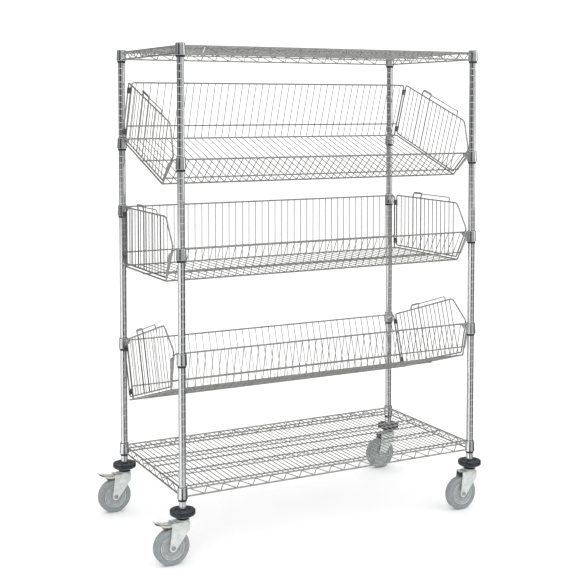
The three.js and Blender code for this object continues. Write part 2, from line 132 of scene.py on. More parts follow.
def in_mm(points):
    """Pairs given in millimetres, as lengths of the scene."""
    return [(u * MM, v * MM) for u, v in points]


class Sketch:
    """Vertices and faces of one piece, in a local frame that `place` carries to the shared one."""

    def __init__(self, place=None):
        self.place = place or Matrix.Identity(4)
        self.verts = []
        self.faces = []

    def add(self, verts, faces):
        start = len(self.verts)
        self.verts += [self.place @ Vector(v) for v in verts]
        self.faces += [[start + i for i in face] for face in faces]

    def rod(self, points, radius, sides=8, closed=False):
        """A round bar along a list of points, with softly domed ends unless it closes on itself."""
        points = [Vector(p) for p in points]
        count = len(points)
        tangents = []
        for i in range(count):
            before = points[i - 1] if (i or closed) else points[0]
            after = points[(i + 1) % count] if (i + 1 < count or closed) else points[-1]
            tangents.append((after - before).normalized())
        side = tangents[0].orthogonal().normalized()
        rings = []
        for i, tangent in enumerate(tangents):
            side = (side - tangent * side.dot(tangent)).normalized()
            up = tangent.cross(side)
            stretch = 1.0
            if 0 < i < count - 1 or closed:
                stretch = 1 / max(0.5, tangent.dot((points[(i + 1) % count] - points[i]).normalized()))
            bend = (points[(i + 1) % count] - points[i]).cross(points[i] - points[i - 1])
            rings.append((points[i], side, up, stretch, bend))
        verts = []
        for point, side, up, stretch, bend in rings:
            outward = ORIGIN
            if stretch > 1.0001 and bend.length > 1e-12:
                outward = bend.normalized().cross(side.cross(up)).normalized()
            for k in range(sides):
                angle = 2 * math.pi * k / sides
                offset = side * math.cos(angle) + up * math.sin(angle)
                offset += outward * offset.dot(outward) * (stretch - 1)
                verts.append(point + offset * radius)
        faces = []
        spans = count if closed else count - 1
        for i in range(spans):
            for k in range(sides):
                a = i * sides + k
                b = i * sides + (k + 1) % sides
                c = ((i + 1) % count) * sides + (k + 1) % sides
                d = ((i + 1) % count) * sides + k
                faces.append((a, b, c, d))
        if not closed:
            for ring, sign in ((0, -1), (count - 1, 1)):
                tip = len(verts)
                verts.append(points[ring] + tangents[ring] * (sign * radius * TIP_DOME))
                for k in range(sides):
                    a = ring * sides + k
                    b = ring * sides + (k + 1) % sides
                    faces.append((a, b, tip) if sign > 0 else (b, a, tip))
        self.add(verts, faces)

    def lathe(self, profile, sides=32, axis=Z_AXIS, centre=ORIGIN, closed=False):
        """Turns [radius, height] pairs about an axis through `centre`; a radius of 0 closes the end."""
        turn = Z_AXIS.rotation_difference(axis).to_matrix()
        verts = []
        rows = []
        for radius, height in profile:
            if radius < 1e-7:
                rows.append([len(verts)] * sides)
                verts.append(centre + turn @ Vector((0, 0, height)))
                continue
            rows.append(list(range(len(verts), len(verts) + sides)))
            for k in range(sides):
                angle = 2 * math.pi * k / sides
                local = Vector((radius * math.cos(angle), radius * math.sin(angle), height))
                verts.append(centre + turn @ local)
        faces = []
        above = rows[1:] + rows[:1] if closed else rows[1:]
        for low, high in zip(rows, above):
            for k in range(sides):
                n = (k + 1) % sides
                around = [low[k], low[n], high[n], high[k]]
                face = [v for i, v in enumerate(around) if v not in around[:i]]
                if len(face) > 2:
                    faces.append(face)
        self.add(verts, faces)

    def plate(self, outline, thickness, u_axis, v_axis, centre, bevel):
        """A flat plate with a bevelled outline, centred on its thickness."""
        normal = u_axis.cross(v_axis)
        mesh = bmesh.new()
        back = centre - normal * (thickness / 2)
        face = mesh.faces.new([mesh.verts.new(back + u_axis * u + v_axis * v) for u, v in outline])
        grown = bmesh.ops.extrude_face_region(mesh, geom=[face])
        moved = [item for item in grown["geom"] if isinstance(item, bmesh.types.BMVert)]
        bmesh.ops.translate(mesh, verts=moved, vec=normal * thickness)
        bmesh.ops.recalc_face_normals(mesh, faces=mesh.faces)
        rims = []
        for edge in mesh.edges:
            run = (edge.verts[0].co - edge.verts[1].co).normalized()
            if abs(run.dot(normal)) < 0.5:
                rims.append(edge)
        bmesh.ops.bevel(mesh, geom=rims, offset=bevel, segments=2, profile=0.5, affect="EDGES")
        mesh.verts.index_update()
        self.add([v.co for v in mesh.verts], [[v.index for v in f.verts] for f in mesh.faces])
        mesh.free()

    def piece(self, name, material, body, nodes=(), crease=35):
        """Makes the object, rides it on its body and lets it stand for the CAD nodes named."""
        mesh = bpy.data.meshes.new(name)
        mesh.from_pydata(self.verts, [], self.faces)
        mesh.validate()
        clean = bmesh.new()
        clean.from_mesh(mesh)
        bmesh.ops.recalc_face_normals(clean, faces=clean.faces)
        clean.to_mesh(mesh)
        clean.free()
        mesh.shade_smooth()
        mesh.set_sharp_from_angle(angle=math.radians(crease))
        mesh.materials.append(material)
        obj = bpy.data.objects.new(name, mesh)
        bpy.context.scene.collection.objects.link(obj)
        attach(obj, body)
        if nodes:
            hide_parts(*nodes)


def rounded(points, radius, steps=4, closed=False):
    """The same path with each corner turned into an arc of that radius."""
    points = [Vector(p) for p in points]
    count = len(points)
    path = []
    for i, corner in enumerate(points):
        if not closed and i in (0, count - 1):
            path.append(corner)
            continue
        to_last = (points[i - 1] - corner).normalized()
        to_next = (points[(i + 1) % count] - corner).normalized()
        half = to_last.angle(to_next) / 2
        if half > math.radians(89.5):
            path.append(corner)
            continue
        reach = radius / math.tan(half)
        centre = corner + (to_last + to_next).normalized() * (radius / math.sin(half))
        start = corner + to_last * reach - centre
        end = corner + to_next * reach - centre
        for step in range(steps + 1):
            path.append(centre + start.slerp(end, step / steps) * radius)
    return path


def rounded_outline(points, radius, steps=3):
    """A flat outline, given as pairs, with rounded corners."""
    return [(p.x, p.y) for p in rounded([(u, v, 0) for u, v in points], radius, steps, closed=True)]


# ------------------------------------------------------------------ materials


def new_material(name, colour, metallic, roughness):
    material = bpy.data.materials.new(name)
    material.use_nodes = True
    tree = material.node_tree
    shader = tree.nodes["Principled BSDF"]
    shader.inputs["Base Color"].default_value = (*colour, 1)
    shader.inputs["Metallic"].default_value = metallic
    shader.inputs["Roughness"].default_value = roughness
    return material, tree, shader


def noise(tree, scale, detail):
    """Noise in the object's own coordinates."""
    texture = tree.nodes.new("ShaderNodeTexNoise")
    texture.inputs["Scale"].default_value = scale
    texture.inputs["Detail"].default_value = detail
    coordinates = tree.nodes.new("ShaderNodeTexCoord")
    tree.links.new(coordinates.outputs["Object"], texture.inputs["Vector"])
    return texture.outputs["Fac"]


def blend(tree, factor, low, high):
    """A colour that goes from low to high over the middle third of a noise."""
    colours = tree.nodes.new("ShaderNodeValToRGB")
    for element, position, colour in zip(colours.color_ramp.elements, (0.35, 0.65), (low, high)):
        element.position = position
        element.color = (*colour, 1)
    tree.links.new(factor, colours.inputs["Fac"])
    return colours.outputs["Color"]


def grained(name, low, high, roughness, metallic, scale, detail, bump):
    """A surface whose colour, roughness and fine relief follow one noise."""
    middle = [(a + b) / 2 for a, b in zip(low, high)]
    material, tree, shader = new_material(name, middle, metallic, sum(roughness) / 2)
    grain = noise(tree, scale, detail)
    tree.links.new(blend(tree, grain, low, high), shader.inputs["Base Color"])
    spread = tree.nodes.new("ShaderNodeMapRange")
    spread.inputs["To Min"].default_value, spread.inputs["To Max"].default_value = roughness
    tree.links.new(grain, spread.inputs["Value"])
    tree.links.new(spread.outputs["Result"], shader.inputs["Roughness"])
    relief = tree.nodes.new("ShaderNodeBump")
    relief.inputs["Strength"].default_value = bump
    relief.inputs["Distance"].default_value = 0.2 * MM
    tree.links.new(grain, relief.inputs["Height"])
    tree.links.new(relief.outputs["Normal"], shader.inputs["Normal"])
    return material


def chrome(name, low, high, roughness):
    return grained(name, low, high, roughness, metallic=1.0, scale=35, detail=3, bump=0.04)


def plastic(name, low, high, roughness, scale, detail, bump):
    return grained(name, low, high, roughness, 0.0, scale, detail, bump)


def zinc(name, low, high, metallic):
    return grained(name, low, high, (0.30, 0.50), metallic, scale=60, detail=5, bump=0.08)


POST_CHROME = chrome("post_chrome", (0.84, 0.85, 0.86), (0.93, 0.94, 0.94), (0.03, 0.07))
COLLAR_CHROME = chrome("collar_chrome", (0.78, 0.79, 0.80), (0.90, 0.91, 0.92), (0.08, 0.16))
CLIP_CHROME = chrome("clip_chrome", (0.46, 0.46, 0.45), (0.60, 0.60, 0.58), (0.20, 0.32))
WIRE_CHROME = chrome("wire_chrome", (0.36, 0.36, 0.35), (0.46, 0.46, 0.445), (0.14, 0.26))
SHELF_CHROME = chrome("shelf_chrome", (0.46, 0.46, 0.45), (0.56, 0.56, 0.545), (0.14, 0.26))
DARK_STEEL = chrome("dark_steel", (0.12, 0.12, 0.12), (0.24, 0.24, 0.23), (0.12, 0.25))
BRIGHT_ZINC = zinc("bright_zinc", (0.66, 0.71, 0.69), (0.83, 0.87, 0.84), 0.55)
PEDAL_ZINC = zinc("pedal_zinc", (0.62, 0.56, 0.46), (0.82, 0.79, 0.72), 0.5)
BLACK_RUBBER = plastic(
    "black_rubber", (0.010, 0.011, 0.013), (0.028, 0.030, 0.034), (0.30, 0.46), 220, 6, 0.15
)
GLOSSY_BUMPER = plastic(
    "glossy_bumper", (0.012, 0.016, 0.021), (0.026, 0.032, 0.040), (0.06, 0.16), 120, 4, 0.05
)
BROWN_PAD = plastic("brown_pad", (0.10, 0.06, 0.04), (0.20, 0.12, 0.07), (0.40, 0.60), 150, 5, 0.12)
GREY_TYRE = plastic("grey_tyre", (0.222, 0.242, 0.248), (0.260, 0.284, 0.289), (0.42, 0.60), 90, 6, 0.12)
GREY_HUB = plastic("grey_hub", (0.285, 0.312, 0.317), (0.34, 0.37, 0.375), (0.28, 0.42), 70, 4, 0.06)
# Painted highlight: the hub's bead rings are coloured pale to stand for the light lines that they catch.
BEAD_PAINTED_HIGHLIGHT = plastic("bead_painted_highlight", (0.56, 0.59, 0.59), (0.68, 0.71, 0.71), (0.28, 0.42), 70, 4, 0.06)

# ------------------------------------------------------------------ posts, collars and sleeves

lowest_collar_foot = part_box("bottom_shelf")[0][2]
FIRST_GROOVE = lowest_collar_foot - COLLAR_FOOT


def groove_near(height):
    """Height of the groove nearest to `height`."""
    return FIRST_GROOVE + round((height - FIRST_GROOVE) / GROOVE_PITCH) * GROOVE_PITCH


def post(corner):
    """Grooved tube, closed and domed at the top, open at the foot for the caster's stem."""
    low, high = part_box("post_" + corner)
    radius = (high[0] - low[0]) / 2
    inside = radius - POST_WALL
    edge = 0.4 * MM
    profile = [(0, high[2] - POST_WALL), (inside, high[2] - POST_WALL), (inside, low[2])]
    profile += [(radius - edge, low[2]), (radius, low[2] + edge)]
    groove = groove_near(low[2])
    if groove < low[2] + 2 * GROOVE_HALF_WIDTH:
        groove += GROOVE_PITCH
    while groove < high[2] - 3 * GROOVE_HALF_WIDTH:
        for step, depth in ((-1, 0), (-0.55, 0.75), (0, 1), (0.55, 0.75), (1, 0)):
            profile.append((radius - depth * GROOVE_DEPTH, groove + step * GROOVE_HALF_WIDTH))
        groove += GROOVE_PITCH
    dome = 2.5 * MM
    for step in range(5):
        angle = step / 4 * math.pi / 2
        profile.append((radius - dome + dome * math.cos(angle), high[2] - dome + dome * math.sin(angle)))
    profile.append((0, high[2]))
    sketch = Sketch()
    sketch.lathe(profile, sides=40, centre=POSTS[corner].to_3d())
    sketch.piece("chrome_post_" + corner, POST_CHROME, "frame", ["post_" + corner], crease=25)


def add_collar(sketch, centre, groove):
    """A tapered collar with softened rims."""
    edge = 0.8 * MM
    foot, top = groove + COLLAR_FOOT, groove + COLLAR_TOP
    profile = [
        (COLLAR_BORE, foot + edge),
        (COLLAR_BORE + edge, foot),
        (COLLAR_FOOT_RADIUS - edge, foot),
        (COLLAR_FOOT_RADIUS, foot + edge),
        (COLLAR_TOP_RADIUS, top - edge),
        (COLLAR_TOP_RADIUS - edge, top),
        (COLLAR_BORE + edge, top),
        (COLLAR_BORE, top - edge),
    ]
    sketch.lathe(profile, sides=48, centre=centre.to_3d(), closed=True)


def split_sleeve(name, centre, groove):
    """The black wedge in two halves, whose foot and top rim show past the collar."""
    sketch = Sketch()
    foot, top = groove - 5 * MM, groove + COLLAR_TOP + 1.2 * MM
    edge = 0.8 * MM
    thin = SLEEVE_BORE + 0.6 * MM
    section = [
        (SLEEVE_BORE, foot),
        (SLEEVE_BAND_RADIUS - edge, foot),
        (SLEEVE_BAND_RADIUS, foot + edge),
        (SLEEVE_BAND_RADIUS, groove + COLLAR_FOOT - 0.2 * MM),
        (thin, groove + COLLAR_FOOT + 1.8 * MM),
        (thin, top - 0.4 * MM),
        (thin + 1.2 * MM, top),
        (SLEEVE_BORE, top),
    ]
    steps = 14
    gap = math.radians(3)
    for half in range(2):
        verts = []
        for step in range(steps + 1):
            angle = half * math.pi + gap + (math.pi - 2 * gap) * step / steps
            across = Vector((math.cos(angle), math.sin(angle)))
            verts += [(centre + across * radius).to_3d() + Z_AXIS * height for radius, height in section]
        n = len(section)
        faces = [list(range(n)), [steps * n + i for i in reversed(range(n))]]
        for step in range(steps):
            for i in range(n):
                a, b = step * n + i, step * n + (i + 1) % n
                faces.append((a, b, b + n, a + n))
        sketch.add(verts, faces)
    sketch.piece(name, BLACK_RUBBER, "frame")


def hook_collar(basket, corner):
    """A collar with the welded plate whose cradle carries a basket rod."""
    node = f"{basket}_collar_{corner}"
    groove = groove_near(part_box(node)[0][2])
    centre = POSTS[corner]
    sketch = Sketch()
    add_collar(sketch, centre, groove)
    inward = -1 if centre.y > 0 else 1
    outward_x = 1 if centre.x > MIDDLE_X else -1
    rod_height = groove + (FRONT_HOOK_ROD if centre.y < 0 else BACK_HOOK_ROD)
    rod_reach = POST_Y - abs(hook_rod_y(basket, centre.y > 0))
    seat = rod_height - ROD - 0.3 * MM
    near = rod_reach - ROD - 0.5 * MM
    far = rod_reach + ROD + 0.6 * MM
    tip = far + 1.4 * MM
    cradle = [
        (HOOK_PLATE_INSET, seat - 17 * MM),
        (near - 6 * MM, seat - 14 * MM),
        (tip, seat - 4 * MM),
        (tip, seat + 1.8 * MM),
        (far, seat + 1.8 * MM),
        (far, seat + 1.2 * MM),
        (rod_reach, seat),
        (near, seat + 1.2 * MM),
        (near, seat + 4.2 * MM),
        (near - 2 * MM, seat + 5.2 * MM),
        (HOOK_PLATE_INSET, seat + 5.2 * MM),
    ]
    place = Vector((centre.x - outward_x * HOOK_PLATE_INSET, centre.y, 0))
    sketch.plate(cradle, HOOK_PLATE, Vector((0, inward, 0)), Z_AXIS, place, bevel=0.5 * MM)
    sketch.piece(f"collar_{basket}_{corner}", COLLAR_CHROME, "frame", [node])
    split_sleeve(f"sleeve_{basket}_{corner}", centre, groove)


# ------------------------------------------------------------------ flat shelves

DECK_PITCH = 20.8 * MM
TRUSS_PITCH = 61.2 * MM
TRUSS_UPPER = 34.5 * MM  # rod centres above the collar's groove
TRUSS_LOWER = 8.5 * MM
MIDDLE_TRUSS_Y = 92 * MM
BRACE_INSET = 36 * MM  # of the braces under the deck's ends, from the end trusses
MIDDLE_TRUSS_UPPER = TRUSS_UPPER - 3 * MM  # under the deck wires, which end against the outer rods
MIDDLE_TRUSS_LOWER = 17 * MM
MIDDLE_SNAKE_WIRE = 1.2 * MM
# place of a wave's first upper node, and the share of the pitch in which the wire goes down
LONG_WAVE = (14 * MM, 0.84)
END_WAVE = (12 * MM, 0.5)
MIDDLE_WAVE = (20 * MM, 0.5)
DECK_MARGIN = 10 * MM  # between the last deck wire and the posts' centres, at least
DECK_LEVEL = TRUSS_UPPER + SHELF_ROD - DECK_WIRE - 0.5 * MM


def add_snake(sketch, start, end, drop, wave, wire):
    """Wave wire of a truss: down from its upper rod and up again, with round nodes."""
    start, end = Vector(start), Vector(end)
    along = (end - start).normalized()
    length = (end - start).length
    place, lean = wave
    points = []
    while place < length:
        low = place + TRUSS_PITCH * lean
        points.append(start + along * place)
        if low < length:
            points.append(start + along * low - Z_AXIS * drop)
        place += TRUSS_PITCH
    sketch.rod(rounded(points, 4 * MM, steps=3), wire, sides=8)


def flat_shelf(node):
    """Trusses on four sides and two under the deck, deck wires from front to back, four collars."""
    groove = groove_near(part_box(node)[0][2])
    sketch = Sketch(Matrix.Translation((MIDDLE_X, 0, groove)))
    collars = Sketch(sketch.place)
    for corner in CORNERS:
        add_collar(collars, POSTS[corner] - Vector((MIDDLE_X, 0)), 0)
    collars.piece("collars_" + node, COLLAR_CHROME, "frame")
    reach_x = POST_X - COLLAR_TOP_RADIUS + 1 * MM
    reach_y = POST_Y - COLLAR_TOP_RADIUS + 1 * MM
    level = TRUSS_UPPER - SHELF_ROD + SNAKE_WIRE / 2
    drop = TRUSS_UPPER - TRUSS_LOWER - SHELF_ROD
    middle_level = MIDDLE_TRUSS_UPPER - SHELF_ROD / 2
    middle_drop = middle_level - MIDDLE_TRUSS_LOWER
    for side in (-1, 1):
        x, y = side * POST_X, side * POST_Y
        for height in (TRUSS_UPPER, TRUSS_LOWER):
            sketch.rod([(-reach_x, y, height), (reach_x, y, height)], SHELF_ROD, sides=12)
            sketch.rod([(x, -reach_y, height), (x, reach_y, height)], SHELF_ROD, sides=12)
        add_snake(sketch, (-reach_x, y, level), (reach_x, y, level), drop, LONG_WAVE, SNAKE_WIRE)
        add_snake(sketch, (x, -reach_y, level), (x, reach_y, level), drop, END_WAVE, SNAKE_WIRE)
        y = side * MIDDLE_TRUSS_Y
        for height, share in ((MIDDLE_TRUSS_UPPER, 0.9), (MIDDLE_TRUSS_LOWER, 0.7)):
            sketch.rod([(-POST_X, y, height), (POST_X, y, height)], SHELF_ROD * share, sides=10)
        ends = [(-POST_X, y, middle_level), (POST_X, y, middle_level)]
        add_snake(sketch, *ends, middle_drop, MIDDLE_WAVE, MIDDLE_SNAKE_WIRE)
    for y in (-POST_Y + BRACE_INSET, 0, POST_Y - BRACE_INSET):
        ends = [(-POST_X, y, MIDDLE_TRUSS_UPPER), (POST_X, y, MIDDLE_TRUSS_UPPER)]
        sketch.rod(ends, SHELF_ROD * 0.9, sides=10)
    last = int((POST_X - DECK_MARGIN) / DECK_PITCH)
    for i in range(-last, last + 1):
        x = i * DECK_PITCH
        edge = POST_Y - SHELF_ROD * 0.7
        if abs(x) > POST_X - COLLAR_FOOT_RADIUS - DECK_WIRE:
            edge = POST_Y - COLLAR_FOOT_RADIUS
        sketch.rod([(x, -edge, DECK_LEVEL), (x, edge, DECK_LEVEL)], DECK_WIRE)
    sketch.piece("wire_" + node, SHELF_CHROME, "frame", [node])
    for corner in CORNERS:
        split_sleeve(f"sleeve_{node}_{corner}", POSTS[corner], groove)


# ------------------------------------------------------------------ baskets


def basket_place(basket):
    """Matrix from a basket's own frame (back floor corner, forward -Y, up +Z) to the shared frame."""
    joint = joints[basket + "_right_side_fold"]
    up = Vector(joint["axis"])
    tilt = math.atan2(-up.y, up.z)
    corner = Vector(joint["pos_m"])
    corner.x = MIDDLE_X
    return Matrix.Translation(corner) @ Matrix.Rotation(tilt, 4, "X")


def hook_rod_y(basket, at_back):
    """Where a basket's hooked rod runs, front or back, in the shared frame."""
    place = basket_place(basket)
    if not at_back:
        return (place @ Vector((0, -FLOOR_DEPTH - LIP_FORWARD, LIP_UP))).y
    corner = place @ ORIGIN
    top = place @ Vector((0, 0, BACK_HEIGHT))
    return max(corner.y, top.y)


def side_plane(side):
    """Where an end panel stands, left (-1) or right (1), in the basket's frame."""
    return side * (POST_X + SIDE_OUTSET)


def lip_clips(basket, lip, lip_top):
    """Flat strips welded beside the ends of the lip, where the end panels' front rods snap in."""
    shape = [
        (-46 * MM, ROD * 0.5),
        (-46 * MM, 7 * MM),
        (2 * MM, 9 * MM),
        (14 * MM, 12 * MM),
        (38 * MM, 13 * MM),
        (46 * MM, 9 * MM),
        (48 * MM, ROD * 0.5),
    ]
    below_top = 58 * MM
    sketch = Sketch(basket_place(basket))
    for side in (-1, 1):
        outward = X_AXIS * side
        centre = lip_top - lip * below_top + outward * FLOOR_HALF_WIDTH
        sketch.plate(rounded_outline(shape, 2 * MM), 1.6 * MM, lip, outward, centre, bevel=0.4 * MM)
    sketch.piece(f"{basket}_lip_clips", CLIP_CHROME, basket + "_basket")


def tray(basket):
    """Back, floor and lip: one welded grid of bent wires on eight rods."""
    sketch = Sketch(basket_place(basket))
    lip = Vector((0, -LIP_FORWARD, LIP_UP)).normalized()
    lip_foot = Vector((0, -FLOOR_DEPTH, 0))
    lip_top = lip_foot + Vector((0, -LIP_FORWARD, LIP_UP))
    lip_face = Vector((0, LIP_UP, LIP_FORWARD)).normalized()
    back = POST_X
    wide = FLOOR_HALF_WIDTH
    thin = ROD * 0.85

    # rods: back frame bent over its two top corners, floor and lip frame bent over the front edge
    top_frame = [(-back, 0, 4 * MM), (-back, 0, BACK_HEIGHT), (back, 0, BACK_HEIGHT), (back, 0, 4 * MM)]
    sketch.rod(rounded(top_frame, 12 * MM, steps=5), ROD, sides=12)
    lip_rod = lip_foot + lip * LIP_ROD_UP - lip_face * (ROD + WIRE)
    floor_rod = Vector((0, -FLOOR_ROD_SHARE * FLOOR_DEPTH, -ROD - WIRE))
    crossings = (
        (Vector((0, *BACK_ROD)), back, ROD * 0.9),
        (Vector((0, 0, 0)), wide, ROD),
        (floor_rod, wide, thin),
        (lip_foot, wide, ROD),
        (lip_rod, wide, thin),
    )
    for centre, half, radius in crossings:
        sketch.rod([centre - X_AXIS * half, centre + X_AXIS * half], radius, sides=12)
    front_frame = [Vector((-wide, 0, 0)), lip_foot - X_AXIS * wide, lip_top - X_AXIS * wide]
    front_frame += [lip_top + X_AXIS * wide, lip_foot + X_AXIS * wide, Vector((wide, 0, 0))]
    sketch.rod(rounded(front_frame, 7 * MM, steps=4), ROD, sides=12)

    # wires: from the top of the back, round the floor corner, along the floor and up the lip
    inside = ROD + WIRE
    floor_line = ROD * 0.4
    for i in range(-LAST_BASKET_WIRE, LAST_BASKET_WIRE + 1):
        x = i * BASKET_PITCH
        path = [
            Vector((x, -ROD * 0.4, BACK_HEIGHT + ROD * 0.3)),
            Vector((x, -ROD * 0.4, floor_line)),
            Vector((x, -FLOOR_DEPTH, floor_line)),
            lip_top + X_AXIS * x + lip * ROD * 0.3 + lip_face * ROD * 0.4,
        ]
        sketch.rod(rounded(path, inside, steps=3), WIRE, sides=8)
    nodes = [f"{basket}_basket_{part}" for part in ("back", "floor", "lip")]
    sketch.piece(f"{basket}_tray", WIRE_CHROME, basket + "_basket", nodes)
    lip_clips(basket, lip, lip_top)


# The same panel serves at both ends, so its wires, handle and loop all stand on its right-hand face.
SIDE_DETAILS = {
    "left": {
        "heavy": (5, 7),
        "face": -1,
        "handle_lean": -4 * MM,
        "loop_lean": -4 * MM,
        "loop_rise": 15 * MM,
        "loop_end": 343 * MM,
        "loop_tail": 11 * MM,
    },
    "right": {
        "heavy": (4, 6),
        "face": 1,
        "handle_lean": 6 * MM,
        "loop_lean": 2 * MM,
        "loop_rise": 17 * MM,
        "loop_end": 372 * MM,
        "loop_tail": 0,
    },
}
HANDLE_RISE = 20 * MM
LOOP_WIRE = 2.0 * MM
PANEL_BOTTOM = 11 * MM
PANEL_INSET = 10 * MM  # of an end panel's front rod from the lip
SHOULDER = FLOOR_DEPTH - 3 * MM
KNEE_UP = LIP_UP + 11 * MM
LIP_SLOPE = LIP_FORWARD / LIP_UP
SLEEVE_HEIGHTS = (30 * MM, 192 * MM)
SLEEVE_HALF_LENGTH = 11 * MM
PANEL_BENDS = (8, 8, 14, 26, 8)  # radii of the frame rod's corners, in mm


def panel_front(up):
    """Forward place of an end panel's front rod at that height, beside the lip."""
    return FLOOR_DEPTH + up * LIP_SLOPE - PANEL_INSET * math.hypot(LIP_FORWARD, LIP_UP) / LIP_UP


def panel_top(forward):
    """Height of an end panel's upper rod at that distance from the hinge."""
    if forward <= SHOULDER - 10 * MM:
        return BACK_HEIGHT
    share = (forward - SHOULDER) / (panel_front(KNEE_UP) - SHOULDER)
    return BACK_HEIGHT - max(share, 0.08) * (BACK_HEIGHT - KNEE_UP)


def panel_floor(forward):
    """Height of an end panel's lower rod at that distance from the hinge."""
    if forward <= panel_front(PANEL_BOTTOM):
        return PANEL_BOTTOM
    return PANEL_BOTTOM + (forward - panel_front(PANEL_BOTTOM)) / LIP_SLOPE


def end_panel(basket, side_name, side):
    """A folding end panel: bent frame rod, upright wires, handle and loop."""
    sketch = Sketch(basket_place(basket))
    details = SIDE_DETAILS[side_name]
    plane = side_plane(side)

    def at(forward, up, out=0.0):
        return Vector((plane + side * out, -forward, up))

    frame_corners = [
        at(0, PANEL_BOTTOM),
        at(panel_front(PANEL_BOTTOM), PANEL_BOTTOM),
        at(panel_front(KNEE_UP), KNEE_UP),
        at(SHOULDER, BACK_HEIGHT),
        at(0, BACK_HEIGHT),
    ]
    outline = []
    for i, radius in enumerate(PANEL_BENDS):
        trio = [frame_corners[i - 1], frame_corners[i], frame_corners[(i + 1) % len(frame_corners)]]
        outline += rounded(trio, radius * MM, steps=5)[1:-1]
    sketch.rod(outline, ROD * 0.92, sides=12, closed=True)

    wires_out = details["face"] * ROD * 0.9
    for i in range(1, SIDE_WIRES + 1):
        forward = i * SIDE_PITCH + SIDE_WIRE_OFFSET
        if i not in details["heavy"] and forward < panel_front(KNEE_UP) - 8 * MM:
            low, high = panel_floor(forward) - 1 * MM, panel_top(forward) + 1 * MM
            sketch.rod([at(forward, low, wires_out), at(forward, high, wires_out)], WIRE * 1.1, sides=8)

    # two heavy wires pass the top rod and join over it in a small handle that leans away
    face = details["face"]
    first, second = (i * SIDE_PITCH + SIDE_WIRE_OFFSET for i in details["heavy"])
    beside = face * (ROD + HEAVY_WIRE - WELD_OVERLAP)
    handle_top = BACK_HEIGHT + HANDLE_RISE
    legs = []
    for forward in (first, second):
        legs.append(
            [
                at(forward, PANEL_BOTTOM - 1 * MM, beside),
                at(forward, BACK_HEIGHT + 4 * MM, beside),
                at(forward, handle_top, beside + face * details["handle_lean"]),
            ]
        )
    sketch.rod(rounded(legs[0] + legs[1][::-1], 6 * MM, steps=4), HEAVY_WIRE, sides=10)

    # long loop over the top rod, from the handle forwards
    beside = face * (ROD + LOOP_WIRE - WELD_OVERLAP)
    loop_top = BACK_HEIGHT + details["loop_rise"]
    lean = beside + face * details["loop_lean"]
    loop = [
        at(first + 2 * MM, BACK_HEIGHT - 2 * MM, beside),
        at(first + 2 * MM, loop_top, lean),
        at(details["loop_end"], loop_top, lean),
        at(details["loop_end"], BACK_HEIGHT - 3 * MM - details["loop_tail"], beside),
    ]
    sketch.rod(rounded(loop, 5 * MM, steps=4), LOOP_WIRE, sides=8)

    body = f"{basket}_{side_name}_side"
    sketch.piece(f"{basket}_{side_name}_end", WIRE_CHROME, body, [f"{basket}_basket_{side_name}_side"])
    hinge_sleeves(basket, side_name, side)


def hinge_sleeves(basket, side_name, side):
    """Two dark crimped sleeves that hold an end panel's rod beside the tray's rod."""
    sketch = Sketch(basket_place(basket))
    ends = sorted((side * POST_X, side_plane(side)))
    wall = ROD + 0.7 * MM
    band = []
    for centre, start in zip(ends, (0.5, -0.5)):
        for step in range(9):
            angle = math.pi * (start + step / 8)
            band.append((centre + wall * math.cos(angle), wall * math.sin(angle)))
    for height in SLEEVE_HEIGHTS:
        centre = Vector((0, 0, height))
        sketch.plate(band, 2 * SLEEVE_HALF_LENGTH, X_AXIS, Y_AXIS, centre, bevel=0.9 * MM)
    sketch.piece(f"{basket}_{side_name}_hinge_sleeves", DARK_STEEL, f"{basket}_{side_name}_side")


# ------------------------------------------------------------------ casters


def joint_place(name):
    return Vector(joints[name]["pos_m"])


def bumper(corner):
    """Glossy moulded ring: chamfered above and below, with a shallow dish round the post."""
    low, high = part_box("bumper_" + corner)
    radius = (high[0] - low[0]) / 2
    bottom, top = low[2], high[2]
    profile = [
        (13.2 * MM, bottom + 3 * MM),
        (26 * MM, bottom + 1 * MM),
        (radius - 9 * MM, bottom + 2 * MM),
        (radius - 3 * MM, bottom + 5.5 * MM),
        (radius - 0.4 * MM, bottom + 8 * MM),
        (radius, bottom + 9.5 * MM),
        (radius, top - 5 * MM),
        (radius - 0.6 * MM, top - 3.4 * MM),
        (radius - 2 * MM, top - 2.2 * MM),
        (radius - 4 * MM, top - 1.6 * MM),
        (29 * MM, top - 2.4 * MM),
        (27.5 * MM, top - 3.4 * MM),
        (24 * MM, top - 7 * MM),
        (17 * MM, top - 8 * MM),
        (13.2 * MM, top - 8 * MM),
    ]
    sketch = Sketch()
    sketch.lathe(profile, sides=64, centre=POSTS[corner].to_3d(), closed=True)
    sketch.piece("rubber_bumper_" + corner, GLOSSY_BUMPER, "frame", ["bumper_" + corner], crease=24)


